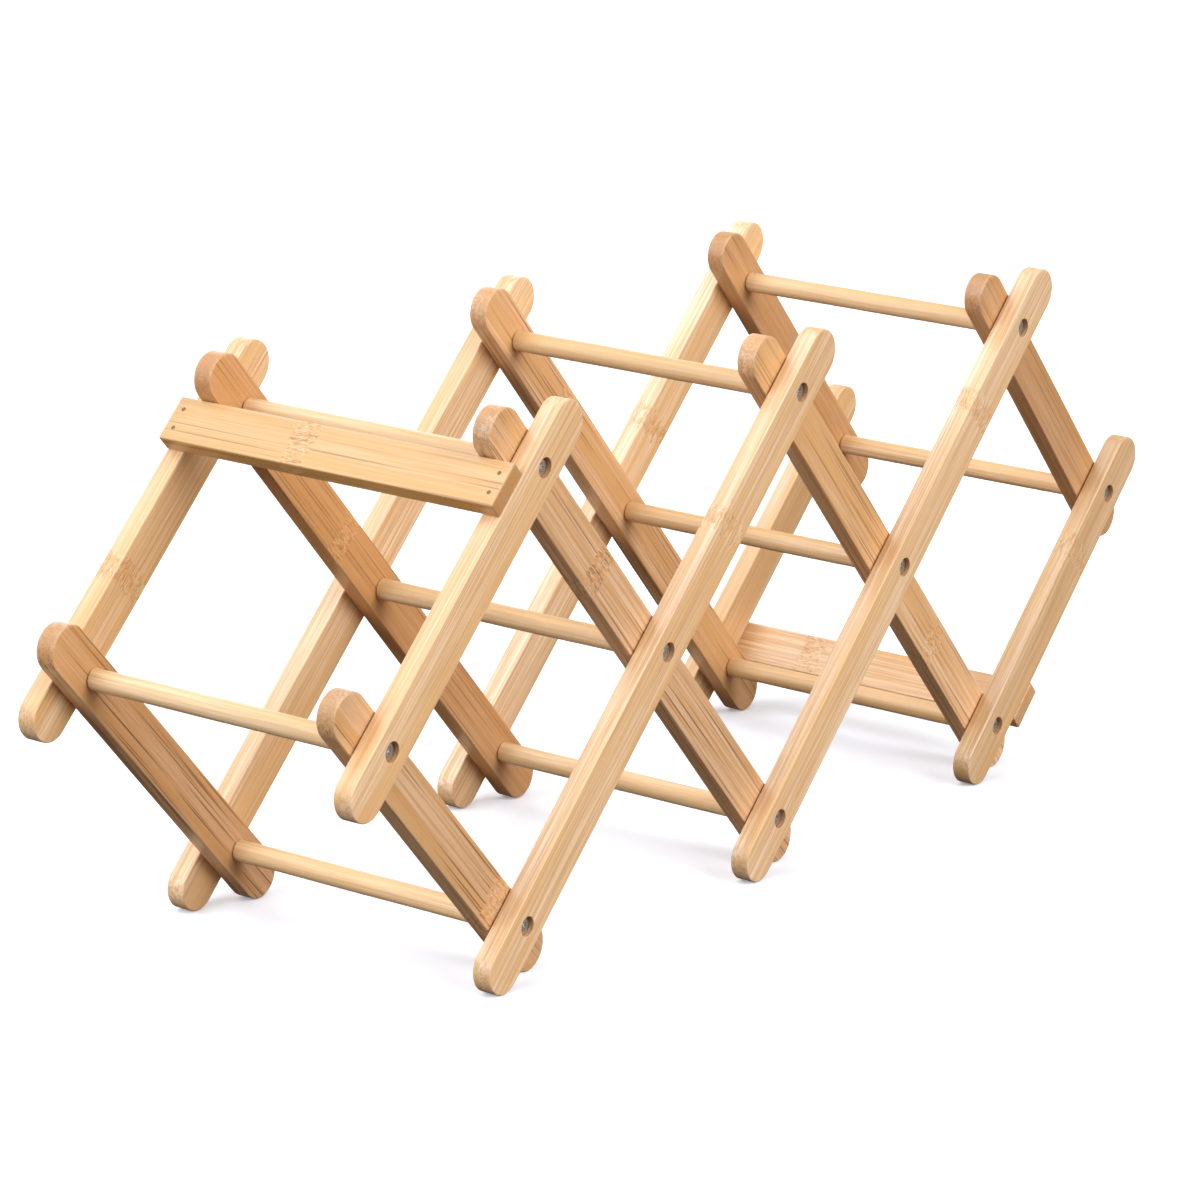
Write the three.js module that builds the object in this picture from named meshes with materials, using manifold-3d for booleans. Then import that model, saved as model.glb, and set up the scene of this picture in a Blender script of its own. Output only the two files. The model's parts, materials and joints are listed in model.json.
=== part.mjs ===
// Folding bamboo wine rack. Two scissor lattices stand side by side, each a row of crossed slats,
// and a dowel joins them at every pivot. Two flat stop bars brace the end slats and stop the rack
// from opening too far. The rack runs along X, bottles lie along Y, and Z is up from the table.
import * as THREE from 'three';
import { mergeVertices } from 'three/addons/utils/BufferGeometryUtils.js';
import Module from 'manifold-3d';

const wasm = await Module();
wasm.setup();

// ---- driving sizes, in millimetres ----
const DIAMONDS = 3; // closed bottle openings along the rack
const PIVOT_PITCH = 116; // pivot to pivot along a slat
const REST_ANGLE = THREE.MathUtils.degToRad(45); // slats above the table, rack fully open
const RACK_DEPTH = 144; // outer face to outer face
const SLAT_WIDTH = 18;
const SLAT_THICKNESS = 7.5;
const END_EXTENSION = 18; // end pivot to the centre of the rounded tip
const EDGE_EASE = 0.5; // sanded arrises of slats and bars
const DOWEL_DIAMETER = 8;
const BAR_WIDTH = 18;
const BAR_THICKNESS = 7;
const SCREW_DIAMETER = 3;
const SCREW_LENGTH = 25; // under the head
const SCREW_TIP_LENGTH = 4;
const SCREW_HEAD_DIAMETER = 6.5;
const SCREW_HEAD_HEIGHT = 2;
const SCREW_HEAD_CROWN = 0.6; // the rounded top part of the head's height
const COUNTERBORE_DEPTH = 3.8;
const RECESS_SPAN = 3.6; // cross recess of the screw head
const RECESS_SLOT = 0.9;
const RECESS_DEPTH = 1.1;
const BRAD_DIAMETER = 1.2;
const BRAD_LENGTH = 18;
const BRAD_TIP_LENGTH = 2;
const BRAD_SPACING = 8; // between the two brads at each end of a bar

// ---- clearances ----
const SLAT_GAP = 0.5; // between an outer and an inner slat, so they turn freely
const SEAT_GAP = 0.3; // between pieces that bear on each other
const SHANK_GAP = 0.3; // around a screw's shank
const BRAD_GAP = 0.1; // around a brad
const HEAD_GAP = 0.4; // around a screw head in its counterbore
const PILOT_RELIEF = 1.5; // hole left beyond the tip of a screw or a brad
const CUT_OVERSHOOT = 1; // how far a cutter stands out of the wood

// ---- fineness of the round surfaces ----
const TIP_SEGMENTS = 6; // per quarter of a slat's rounded tip
const HOLE_SEGMENTS = 14;
const DOWEL_SEGMENTS = 18;
const SCREW_SEGMENTS = 12;
const BRAD_SEGMENTS = 8;

// ---- sizes that follow ----
const TOP_LEVEL = 2; // levels are 0 at the feet, 1 at the crossings, 2 at the top
const LAST_COLUMN = 2 * DIAMONDS;
const COLUMN_STEP = PIVOT_PITCH * Math.cos(REST_ANGLE);
const LEVEL_STEP = PIVOT_PITCH * Math.sin(REST_ANGLE);
const FOOT_HEIGHT = END_EXTENSION * Math.sin(REST_ANGLE) + SLAT_WIDTH / 2;
const OUTER_SLAT_INSIDE = RACK_DEPTH / 2 - SLAT_THICKNESS;
const INNER_SLAT_INSIDE = OUTER_SLAT_INSIDE - SLAT_GAP - SLAT_THICKNESS;
const DOWEL_HALF_LENGTH = INNER_SLAT_INSIDE - SEAT_GAP;
const SCREW_SEAT = RACK_DEPTH / 2 - COUNTERBORE_DEPTH + SEAT_GAP; // underside of a screw head
const SHANK_HOLE_RADIUS = SCREW_DIAMETER / 2 + SHANK_GAP;
const COUNTERBORE_RADIUS = SCREW_HEAD_DIAMETER / 2 + HEAD_GAP;
const PILOT_DEPTH = DOWEL_HALF_LENGTH - (SCREW_SEAT - SCREW_LENGTH) + PILOT_RELIEF;
const BRAD_HOLE_RADIUS = BRAD_DIAMETER / 2 + BRAD_GAP;
const BRAD_HOLE_DEPTH = BRAD_LENGTH - BAR_THICKNESS - SEAT_GAP + PILOT_RELIEF; // in the slat's edge
const BAR_SETBACK = stopSetback(); // top pivot to the nearest edge of the stop bar, along the slat
const BRAD_OFFSETS = [-1, 1].map((way) => -BAR_SETBACK - BAR_WIDTH / 2 + (way * BRAD_SPACING) / 2);
const SIDES = [{ name: 'front', sign: -1 }, { name: 'rear', sign: 1 }];

// ---- materials ----
const bamboo = wood(0xe1b787, 0.5);
const bambooEdge = wood(0xd9ab76, 0.52);
const bambooDowel = wood(0xe6c493, 0.5);
const zincSteel = new THREE.MeshStandardMaterial({ color: 0x8d8f90, roughness: 0.35, metalness: 1 });

function wood(color, roughness) {
  return new THREE.MeshStandardMaterial({ color, roughness, metalness: 0 });
}

// The stop bar lies on the slat's edge. The nearer of its two inner corners meets the edge of the
// crossing slat's end just as the slats reach the rest angle.
function stopSetback() {
  const crossing = 2 * REST_ANGLE;
  const reach = SLAT_WIDTH / 2 + SEAT_GAP;
  const corners = [reach, reach + BAR_THICKNESS];
  const setbacks = corners.map((height) => (reach + height * Math.cos(crossing)) / Math.sin(crossing));
  return Math.max(...setbacks);
}

// ---- solids ----
// A closed three.js mesh as a solid: vertices are merged by position, and the slivers that a lathe
// leaves where its profile meets the axis are dropped.
function toSolid(geometry) {
  const bare = geometry.clone();
  bare.deleteAttribute('normal');
  bare.deleteAttribute('uv');
  const merged = mergeVertices(bare);
  const corners = merged.index.array;
  const triangles = [];
  for (let i = 0; i < corners.length; i += 3) {
    const [a, b, c] = corners.slice(i, i + 3);
    if (a !== b && b !== c && c !== a) triangles.push(a, b, c);
  }
  const mesh = new wasm.Mesh({
    numProp: 3,
    vertProperties: new Float32Array(merged.attributes.position.array),
    triVerts: new Uint32Array(triangles),
  });
  return new wasm.Manifold(mesh);
}

function toGeometry(solid) {
  const mesh = solid.getMesh();
  const geometry = new THREE.BufferGeometry();
  geometry.setAttribute('position', new THREE.BufferAttribute(mesh.vertProperties, mesh.numProp));
  geometry.setIndex(new THREE.BufferAttribute(mesh.triVerts, 1));
  return geometry;
}

// Cuts every cutter out of the blank.
function cut(blank, cutters) {
  return toGeometry(cutters.reduce((body, cutter) => body.subtract(toSolid(cutter)), toSolid(blank)));
}

// Flat stock: the outline, extruded to a thickness along +Z, with both rims eased.
function flatStock(outline, thickness) {
  return new THREE.ExtrudeGeometry(outline, {
    depth: thickness - 2 * EDGE_EASE,
    curveSegments: TIP_SEGMENTS,
    bevelThickness: EDGE_EASE,
    bevelSize: EDGE_EASE,
    bevelOffset: -EDGE_EASE,
    bevelSegments: 1,
  }).translate(0, 0, EDGE_EASE);
}

// A straight drill along Z at (x, y), between two heights.
function drillThrough(x, y, low, high, radius) {
  return new THREE.CylinderGeometry(radius, radius, high - low, HOLE_SEGMENTS)
    .rotateX(Math.PI / 2)
    .translate(x, y, (low + high) / 2);
}

// A turned piece about the Y axis, from [radius, height] pairs that start and end on the axis.
function turned(profile, segments) {
  return new THREE.LatheGeometry(profile.map(([radius, height]) => new THREE.Vector2(radius, height)), segments);
}

// ---- slats ----
// A slat lies along X from its lowest pivot at the origin, with its outer face at +Z.
function slatOutline(bays) {
  const radius = SLAT_WIDTH / 2;
  const outline = new THREE.Shape();
  outline.absarc(-END_EXTENSION, 0, radius, Math.PI / 2, (3 * Math.PI) / 2);
  outline.absarc(bays * PIVOT_PITCH + END_EXTENSION, 0, radius, -Math.PI / 2, Math.PI / 2);
  outline.closePath();
  return outline;
}

// The holes that one pivot needs in a slat. Only an outer slat is counterbored for the screw head.
function pivotDrills(x, isOuter) {
  const top = SLAT_THICKNESS + CUT_OVERSHOOT;
  const drills = [drillThrough(x, 0, -CUT_OVERSHOOT, top, SHANK_HOLE_RADIUS)];
  if (isOuter) drills.push(drillThrough(x, 0, SLAT_THICKNESS - COUNTERBORE_DEPTH, top, COUNTERBORE_RADIUS));
  return drills;
}

// Blind brad holes in one edge of a slat, halfway through its thickness. way is +1 or -1 along Y.
function edgeDrills(positions, way) {
  const length = BRAD_HOLE_DEPTH + CUT_OVERSHOOT;
  const centre = way * (SLAT_WIDTH / 2 + CUT_OVERSHOOT - length / 2);
  return positions.map((x) =>
    new THREE.CylinderGeometry(BRAD_HOLE_RADIUS, BRAD_HOLE_RADIUS, length, BRAD_SEGMENTS)
      .translate(x, centre, SLAT_THICKNESS / 2));
}

function slatGeometry(bays, isOuter, extraDrills) {
  const drills = [];
  for (let pivot = 0; pivot <= bays; pivot += 1) drills.push(...pivotDrills(pivot * PIVOT_PITCH, isOuter));
  return cut(flatStock(slatOutline(bays), SLAT_THICKNESS), [...drills, ...extraDrills]);
}

// ---- turned pieces ----
// A dowel along Y with a blind pilot hole in each end.
function dowelGeometry() {
  const radius = DOWEL_DIAMETER / 2;
  const half = [
    [0, DOWEL_HALF_LENGTH - PILOT_DEPTH],
    [SHANK_HOLE_RADIUS, DOWEL_HALF_LENGTH - PILOT_DEPTH],
    [SHANK_HOLE_RADIUS, DOWEL_HALF_LENGTH],
    [radius - EDGE_EASE / 2, DOWEL_HALF_LENGTH],
    [radius, DOWEL_HALF_LENGTH - EDGE_EASE / 2],
  ];
  const lowerHalf = half.map(([r, height]) => [r, -height]);
  return turned([...lowerHalf, ...half.reverse()], DOWEL_SEGMENTS);
}

// A wood screw with its head's underside at the origin, the head towards +Y and a cross recess.
function screwGeometry() {
  const shank = SCREW_DIAMETER / 2;
  const head = SCREW_HEAD_DIAMETER / 2;
  const body = turned([
    [0, -SCREW_LENGTH],
    [shank, SCREW_TIP_LENGTH - SCREW_LENGTH],
    [shank, 0],
    [head, 0],
    [head, SCREW_HEAD_HEIGHT - SCREW_HEAD_CROWN],
    [head - SCREW_HEAD_CROWN, SCREW_HEAD_HEIGHT],
    [0, SCREW_HEAD_HEIGHT],
  ], SCREW_SEGMENTS);
  const slots = [[RECESS_SPAN, RECESS_SLOT], [RECESS_SLOT, RECESS_SPAN]].map(([x, z]) =>
    new THREE.BoxGeometry(x, 2 * RECESS_DEPTH, z).translate(0, SCREW_HEAD_HEIGHT, 0));
  return cut(body, slots);
}

// A headless brad along Z with its top at the origin.
function bradGeometry() {
  const radius = BRAD_DIAMETER / 2;
  return turned([
    [0, -BRAD_LENGTH],
    [radius, BRAD_TIP_LENGTH - BRAD_LENGTH],
    [radius, 0],
    [0, 0],
  ], BRAD_SEGMENTS).rotateX(Math.PI / 2);
}

// ---- stop bars ----
// In a bar's frame the pivot is the origin, X runs along the slat, Y along the bar and Z points out
// of the slat's edge.
const BAR_SEAT = SLAT_WIDTH / 2 + SEAT_GAP;
const BRAD_DEPTH_POSITION = RACK_DEPTH / 2 - SLAT_THICKNESS / 2;

function barGeometry() {
  const outline = new THREE.Shape();
  outline.moveTo(-BAR_SETBACK - BAR_WIDTH, -RACK_DEPTH / 2);
  outline.lineTo(-BAR_SETBACK, -RACK_DEPTH / 2);
  outline.lineTo(-BAR_SETBACK, RACK_DEPTH / 2);
  outline.lineTo(-BAR_SETBACK - BAR_WIDTH, RACK_DEPTH / 2);
  outline.closePath();
  const top = BAR_THICKNESS + CUT_OVERSHOOT;
  const drills = SIDES.flatMap((side) => BRAD_OFFSETS.map((x) =>
    drillThrough(x, side.sign * BRAD_DEPTH_POSITION, -CUT_OVERSHOOT, top, BRAD_HOLE_RADIUS)));
  return cut(flatStock(outline, BAR_THICKNESS), drills);
}

// One stop bar with its four brads, turned onto its slat's edge at a pivot.
function stopBar(name, pivot, halfTurn) {
  const group = new THREE.Group();
  const bar = piece(`${name}_stop_bar`, barGeometry(), bambooEdge);
  bar.position.z = BAR_SEAT;
  group.add(bar);
  for (const side of SIDES) {
    BRAD_OFFSETS.forEach((x, index) => {
      const brad = piece(`${name}_bar_${side.name}_brad_${index + 1}`, bradGeometry(), zincSteel);
      brad.position.set(x, side.sign * BRAD_DEPTH_POSITION, BAR_SEAT + BAR_THICKNESS);
      group.add(brad);
    });
  }
  group.position.copy(pivot);
  group.rotation.y = halfTurn - REST_ANGLE;
  return group;
}

// ---- lattice ----
function piece(name, geometry, material) {
  const mesh = new THREE.Mesh(geometry, material);
  mesh.name = name;
  return mesh;
}

// Pivots sit where column plus level is odd.
function pivotAt(column, level) {
  return new THREE.Vector3((column - DIAMONDS) * COLUMN_STEP, 0, FOOT_HEIGHT + level * LEVEL_STEP);
}

// A slat's two end pivots, as [column, level], lowest first. Outer slats rise to the right and
// inner slats to the left, and the first and last of each kind are cut short at a crossing.
function slatEnds(index, isOuter) {
  const foot = isOuter ? 2 * index - 1 : 2 * index + 1;
  const way = isOuter ? 1 : -1;
  const columns = [0, 1, TOP_LEVEL].map((level) => [foot + way * level, level]);
  const kept = columns.filter(([column]) => column >= 0 && column <= LAST_COLUMN);
  return [kept[0], kept[kept.length - 1]];
}

// The edge of an outer slat that carries a stop bar is drilled for that bar's brads: the first slat
// on its upper side below the top pivot, the last on its lower side above the foot pivot.
function bradDrills(index, isOuter, bays, side) {
  if (!isOuter || (index > 0 && index < DIAMONDS)) return [];
  const way = index === 0 ? 1 : -1;
  const pivot = index === 0 ? bays * PIVOT_PITCH : 0;
  return edgeDrills(BRAD_OFFSETS.map((x) => pivot + way * x), -side.sign * way);
}

function slat(side, index, isOuter) {
  const [low, high] = slatEnds(index, isOuter);
  const bays = high[1] - low[1];
  const geometry = slatGeometry(bays, isOuter, bradDrills(index, isOuter, bays, side));
  const kind = isOuter ? 'outer' : 'inner';
  const mesh = piece(`${side.name}_${kind}_slat_${index + 1}`, geometry, isOuter ? bamboo : bambooEdge);
  mesh.position.copy(pivotAt(...low));
  mesh.position.y = side.sign * (isOuter ? OUTER_SLAT_INSIDE : INNER_SLAT_INSIDE);
  const rise = isOuter ? REST_ANGLE : Math.PI - REST_ANGLE;
  mesh.rotation.set((-side.sign * Math.PI) / 2, -rise, 0, 'YXZ');
  return mesh;
}

// The dowel and the two screws of one pivot.
function pivotPieces(column, level) {
  const kind = ['foot', 'cross', 'top'][level];
  const number = Math.floor(column / 2) + 1;
  const group = new THREE.Group();
  group.position.copy(pivotAt(column, level));
  group.add(piece(`${kind}_dowel_${number}`, dowelGeometry(), bambooDowel));
  for (const side of SIDES) {
    const screw = piece(`${side.name}_${kind}_screw_${number}`, screwGeometry(), zincSteel);
    screw.position.y = side.sign * SCREW_SEAT;
    screw.rotation.z = side.sign < 0 ? Math.PI : 0;
    group.add(screw);
  }
  return group;
}

const rack = new THREE.Group();
for (const side of SIDES) {
  for (let index = 0; index <= DIAMONDS; index += 1) {
    rack.add(slat(side, index, true), slat(side, index, false));
  }
}
for (let level = 0; level <= TOP_LEVEL; level += 1) {
  for (let column = (level + 1) % 2; column <= LAST_COLUMN; column += 2) {
    rack.add(pivotPieces(column, level));
  }
}
rack.add(stopBar('top', pivotAt(1, TOP_LEVEL), 0));
rack.add(stopBar('foot', pivotAt(LAST_COLUMN - 1, 0), Math.PI));

export default rack;
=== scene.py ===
# %% [markdown]
# # A folding bamboo bottle rack
# Two scissor lattices of flat bamboo slats stand side by side. A turned dowel joins them at
# every pivot, and one screw per side holds the slats to the dowel's end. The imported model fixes
# every place and size. This lesson builds the surfaces that the eye meets, and their finishes.

# %% Load the model
import json
import math

import bpy
import numpy as np
from mathutils import Matrix, Vector
from mathutils.geometry import tessellate_polygon

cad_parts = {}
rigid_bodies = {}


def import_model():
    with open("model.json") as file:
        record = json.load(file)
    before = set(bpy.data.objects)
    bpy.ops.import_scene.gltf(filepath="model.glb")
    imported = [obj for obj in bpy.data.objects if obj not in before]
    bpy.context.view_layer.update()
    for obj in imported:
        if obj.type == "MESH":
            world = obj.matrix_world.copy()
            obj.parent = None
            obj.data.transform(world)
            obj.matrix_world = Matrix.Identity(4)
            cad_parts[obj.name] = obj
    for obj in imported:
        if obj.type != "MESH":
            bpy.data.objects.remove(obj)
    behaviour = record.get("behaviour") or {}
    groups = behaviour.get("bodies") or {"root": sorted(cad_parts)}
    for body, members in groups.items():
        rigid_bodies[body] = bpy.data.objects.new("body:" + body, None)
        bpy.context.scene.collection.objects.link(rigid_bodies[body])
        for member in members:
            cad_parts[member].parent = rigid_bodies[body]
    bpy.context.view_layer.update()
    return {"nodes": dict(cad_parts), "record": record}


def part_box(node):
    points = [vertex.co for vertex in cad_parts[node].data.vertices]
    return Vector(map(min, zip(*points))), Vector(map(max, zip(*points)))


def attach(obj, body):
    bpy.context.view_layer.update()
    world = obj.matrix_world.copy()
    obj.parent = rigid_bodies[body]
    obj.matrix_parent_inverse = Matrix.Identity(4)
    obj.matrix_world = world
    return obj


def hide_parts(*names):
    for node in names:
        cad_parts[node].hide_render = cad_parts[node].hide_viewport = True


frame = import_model()

# %% [markdown]
# ## The camera
# The rack is seen from its left end, a little above it, through a long lens, so that the rows of
# parallel slats stay nearly parallel. The camera is also rolled by two degrees, which is a
# small tilt of the horizon. A camera is an object whose X axis points right, whose Y axis
# points up and whose Z axis points back at the viewer, so its three axes make its matrix.

# %% Camera
VIEW_AZIMUTH = math.radians(-56.09)
VIEW_ELEVATION = math.radians(14.99)
VIEW_ROLL = math.radians(2.39)
VIEW_PLACE = Vector((-1.4305, -0.9479, 0.5526))
LENS_MM = 140.15

back = Vector((math.sin(VIEW_AZIMUTH) * math.cos(VIEW_ELEVATION),
               -math.cos(VIEW_AZIMUTH) * math.cos(VIEW_ELEVATION),
               math.sin(VIEW_ELEVATION)))
level = back.cross(Vector((0, 0, -1))).normalized()
upright = back.cross(level)
right = level * math.cos(VIEW_ROLL) + upright * math.sin(VIEW_ROLL)
up = upright * math.cos(VIEW_ROLL) - level * math.sin(VIEW_ROLL)

lens = bpy.data.cameras.new("long_lens")
lens.lens = LENS_MM
lens.sensor_width = 36.0
lens.clip_start, lens.clip_end = 0.05, 60.0
camera = bpy.data.objects.new("camera", lens)
turn = Matrix((right, up, back)).transposed().to_4x4()
camera.matrix_world = Matrix.Translation(VIEW_PLACE) @ turn
bpy.context.collection.objects.link(camera)
bpy.context.scene.camera = camera
print("camera at", [round(c, 3) for c in VIEW_PLACE])

# %% [markdown]
# ## Sizes
# The woodworker's own numbers, in millimetres. A slat is planed stock with rounded ends and
# lightly sanded arrises. Every pivot is a shank hole, and the outer slats are counterbored so
# that the screw heads sit below the wood.

# %% Sizes of the stock
MM = 0.001
SLAT_HALF_WIDTH = 9.0
SLAT_THICKNESS = 7.5
TIP_REACH = 18.0
ARRIS_RADIUS = 0.5
ARRIS_MARGIN = 0.7
RACK_HALF_DEPTH = 72.0
INNER_SLAT_FACE = 64.0
SHANK_HOLE_RADIUS = 1.8
COUNTERBORE_RADIUS = 3.65
COUNTERBORE_DEPTH = 3.8
HOLE_CHAMFER = 0.15
SLAT_PIVOTS = {
    "outer_slat_1": ["cross_1", "top_1"],
    "outer_slat_2": ["foot_1", "cross_2", "top_2"],
    "outer_slat_3": ["foot_2", "cross_3", "top_3"],
    "outer_slat_4": ["foot_3", "cross_4"],
    "inner_slat_1": ["foot_1", "cross_1"],
    "inner_slat_2": ["foot_2", "cross_2", "top_1"],
    "inner_slat_3": ["foot_3", "cross_3", "top_2"],
    "inner_slat_4": ["cross_4", "top_3"],
}


def middle(node):
    """The middle of a node's box, in millimetres: half of the sum of its two corners."""
    low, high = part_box(node)
    return np.array((low + high) / 2) / MM


def pivot_place(pivot):
    """A pivot's place is the middle of the dowel that turns in it."""
    kind, number = pivot.split("_")
    return middle(f"{kind}_dowel_{number}")


print("first and last foot pivot:", pivot_place("foot_1").round(2), pivot_place("foot_3").round(2))

# %% [markdown]
# ## Surfaces from arrays
# Every piece is a few sheets of points, each a grid of rows and columns, that share their
# borders. A sheet is worked out as a whole array. Two triangles fill each cell of the grid, and
# a last step welds points that fall on the same place, so that each piece is closed. A point's
# skin is three values from 0 to 1: how far it lies on a rubbed arris, on a sawn end, and in a
# drilled hole, whose wall the bamboo finish darkens as painted shade.

# %% Sheets and welding
def sheet_faces(rows, columns, closed):
    """Triangles of a grid: cell (i, j) spans rows i, i+1 and columns j, j+1, where the last
    column meets the first again if the grid is closed."""
    row = np.arange(rows - 1)[:, None]
    column = np.arange(columns if closed else columns - 1)[None, :]
    beside = (column + 1) % columns
    a, b = row * columns + column, row * columns + beside
    c, d = (row + 1) * columns + beside, (row + 1) * columns + column
    return np.concatenate([np.stack([a, b, c], -1).reshape(-1, 3),
                           np.stack([a, c, d], -1).reshape(-1, 3)])


def weld(sheets):
    """Joins sheets of (points, faces, skin): points closer than a thousandth of a millimetre
    become one, and a triangle with two equal corners is dropped."""
    starts = np.cumsum([0] + [len(s[0]) for s in sheets])
    points = np.concatenate([s[0] for s in sheets])
    faces = np.concatenate([s[1] + start for s, start in zip(sheets, starts)])
    skin = np.concatenate([s[2] for s in sheets])
    _, first, where = np.unique(np.round(points * 1000).astype(np.int64), axis=0,
                                return_index=True, return_inverse=True)
    faces = where.reshape(-1)[faces]
    sound = ((faces[:, 0] != faces[:, 1]) & (faces[:, 1] != faces[:, 2])
             & (faces[:, 2] != faces[:, 0]))
    return points[first], faces[sound], skin[first]


def turned_sheet(profile, angles):
    """A turned surface: row i is the circle of radius profile[i, 0] at height profile[i, 1],
    and column j is its point at angles[j]. Its skin is plain."""
    radius, height = np.asarray(profile, float).T
    points = np.stack([radius[:, None] * np.cos(angles), radius[:, None] * np.sin(angles),
                       np.broadcast_to(height[:, None], (len(radius), len(angles)))], -1)
    points = points.reshape(-1, 3)
    return points, sheet_faces(len(radius), len(angles), True), np.zeros((len(points), 3))


def circle(count):
    """Angles of a full turn in equal steps."""
    return np.arange(count) * 2 * math.pi / count


print("a 3 by 4 grid has", len(sheet_faces(3, 4, False)), "triangles")

# %% [markdown]
# Each finished piece keeps its own facts for its finish, as values on its points. "grain" is the
# point's place in the stick of bamboo it was cut from, in millimetres along, across and through
# the fibres, so the pattern follows the wood and not the room. "wear" is 1 on an arris, where
# sanding and handling rub the lacquer thin. "sawn_and_bore_shade" is 1 where a face cuts squarely
# across the fibres, and also on a drilled wall, where it stands for painted shade inside the hole.
# "character" is one stick's own tone, warmth and strength of figure, since no two sticks in a
# rack are alike.

# %% Making a piece
def make_piece(name, points, faces, place, axes, material, values):
    """A mesh object whose point is place + x * axes[0] + y * axes[1] + z * axes[2], in metres."""
    mesh = bpy.data.meshes.new(name)
    world = (place + points @ np.asarray(axes)) * MM
    mesh.from_pydata(world.tolist(), [], faces.tolist())
    for key, value in values.items():
        value = np.asarray(value, np.float32)
        kind = "FLOAT" if value.ndim == 1 else "FLOAT_VECTOR"
        field = "value" if value.ndim == 1 else "vector"
        mesh.attributes.new(key, kind, "POINT").data.foreach_set(field, value.ravel())
    mesh.shade_smooth()
    mesh.set_sharp_from_angle(angle=math.radians(38))
    mesh.materials.append(material)
    piece = bpy.data.objects.new(name, mesh)
    bpy.context.collection.objects.link(piece)
    return piece


body_of_node = {node: body for body, nodes in frame["record"]["behaviour"]["bodies"].items()
                for node in nodes}


def stand_in(piece, node):
    """The piece is shown in place of one node and rides on its body."""
    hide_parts(node)
    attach(piece, body_of_node[node])


print("nodes with a body:", len(body_of_node))

# %% [markdown]
# ## One helper for nodes
# A material is a small program of nodes. This helper adds one node, sets its own settings and
# fills its inputs, each with a plain value or with the output of an earlier node. A Mix node has
# sockets for several kinds of value: its share is input 0, its two colours are inputs 6 and 7,
# and its colour comes out of output 2.

# %% Nodes
def node(tree, kind, inputs=None, **settings):
    """Adds one node to the tree, with its settings, and its inputs as values or links."""
    made = tree.nodes.new(kind)
    for key, value in settings.items():
        setattr(made, key, value)
    for key, value in (inputs or {}).items():
        if isinstance(value, bpy.types.NodeSocket):
            tree.links.new(value, made.inputs[key])
        else:
            made.inputs[key].default_value = value
    return made


def linear(code, alpha=1.0):
    """An sRGB hex colour as linear light: the low part is divided by 12.92, the rest follows
    the 2.4 power."""
    parts = [int(code[i:i + 2], 16) / 255 for i in (1, 3, 5)]
    return (*[c / 12.92 if c <= 0.04045 else ((c + 0.055) / 1.055) ** 2.4 for c in parts], alpha)


def new_material(name):
    """A node material with an empty tree but for its output."""
    made = bpy.data.materials.new(name)
    made.use_nodes = True
    made.node_tree.nodes.clear()
    return made, made.node_tree


print("middle grey in linear light:", round(linear("#808080")[0], 3))

# %% [markdown]
# ## Bamboo: the knuckle
# A bamboo stick is sawn from the wall of the culm, planed, and laminated from strips. Every 250 to
# 350 mm the culm has a knuckle, where the fibres tangle in a band some 10 mm long. A flat
# pattern could be wrapped on each face, but its lines would break at the arrises. The finish is
# a solid pattern instead: it is worked out from the grain coordinates, so it runs through the
# wood and agrees on every face. The knuckle comes first, because the fibres depend on it.

# %% Knuckle band
KNUCKLE_SPACING = 300.0
KNUCKLE_RAGGED = 7.0
KNUCKLE_INSIDE = 0.2
KNUCKLE_OUTSIDE = 2.6


def knuckle_band(tree, grain, along):
    """1 in a knuckle and 0 away from one. Distance = that along the fibre to the nearest whole
    number of spacings, less a noise times KNUCKLE_RAGGED, which frays the band's border."""
    ragged = node(tree, "ShaderNodeTexNoise", {"Vector": grain, "Scale": 0.55, "Detail": 2.0})
    away = node(tree, "ShaderNodeMath", {0: along, 1: KNUCKLE_SPACING / 2},
                operation="PINGPONG").outputs[0]
    away = node(tree, "ShaderNodeMath", {0: ragged.outputs["Fac"], 1: -KNUCKLE_RAGGED, 2: away},
                operation="MULTIPLY_ADD").outputs[0]
    return node(tree, "ShaderNodeMapRange", {
        "Value": away, "From Min": KNUCKLE_OUTSIDE, "From Max": KNUCKLE_INSIDE},
        interpolation_type="SMOOTHSTEP").outputs["Result"]


print("knuckles are", KNUCKLE_SPACING, "mm apart")

# %% [markdown]
# ## Bamboo: the fibres
# Along the stick the fibres run almost straight. They wander a few millimetres over its length,
# and within a knuckle they swerve by up to one. Both are done by moving the grain coordinates
# sideways before any pattern reads them, so all the later patterns swerve together.

# %% Fibres
SWAY_MM = (0.0, 3.0, 3.0)
TANGLE_MM = (0.0, 1.0, 1.0)


def wandering_fibres(tree, grain, knuckle):
    """Grain + a slow noise times SWAY_MM + a quick noise times TANGLE_MM within a knuckle."""
    slow = node(tree, "ShaderNodeTexNoise", {"Vector": grain, "Scale": 0.006, "Detail": 1.0})
    quick = node(tree, "ShaderNodeTexNoise", {"Vector": grain, "Scale": 0.5, "Detail": 2.0})
    sway = node(tree, "ShaderNodeVectorMath", {0: slow.outputs["Color"], 1: SWAY_MM},
                operation="MULTIPLY").outputs[0]
    tangle = node(tree, "ShaderNodeVectorMath", {0: quick.outputs["Color"], 1: TANGLE_MM},
                  operation="MULTIPLY").outputs[0]
    tangle = node(tree, "ShaderNodeVectorMath", {0: tangle, "Scale": knuckle},
                  operation="SCALE").outputs[0]
    wood = node(tree, "ShaderNodeVectorMath", {0: grain, 1: sway}, operation="ADD").outputs[0]
    return node(tree, "ShaderNodeVectorMath", {0: wood, 1: tangle}, operation="ADD").outputs[0]


print("fibres wander by up to", SWAY_MM[1], "mm")

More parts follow.
